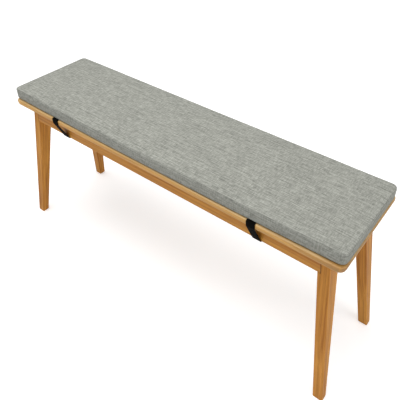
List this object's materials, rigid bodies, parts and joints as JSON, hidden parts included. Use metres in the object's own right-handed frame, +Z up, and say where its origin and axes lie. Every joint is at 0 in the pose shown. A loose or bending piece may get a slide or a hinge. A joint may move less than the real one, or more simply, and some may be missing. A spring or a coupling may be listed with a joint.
{
  "type": "bench cushion strapped to a wooden bench",
  "caption": "Flat boxed seat cushion in grey melange cloth, held by black webbing straps on a plain splay-legged wooden bench.",
  "frame": {"origin": "on the floor, below the middle of the bench", "axes": "+Z up; +X along the bench, towards the end that is on the right in front of it; -Y is the front"},
  "size_m": [1.1032, 0.2892, 0.4848],
  "materials": {
    "cushion_cloth": "linen-look melange weave, matt",
    "webbing": "black ribbed webbing, matt",
    "board_wood": "oiled, satin",
    "frame_wood": "oiled, satin"
  },
  "bodies": {
    "root": {"cushion": "cushion_cloth", "strap_left": "webbing", "strap_right": "webbing", "board": "board_wood", "rail_front": "frame_wood", "rail_back": "frame_wood", "rail_left": "frame_wood", "rail_right": "frame_wood", "leg_front_left": "frame_wood", "leg_front_right": "frame_wood", "leg_back_left": "frame_wood", "leg_back_right": "frame_wood"}
  },
  "joints": []
}
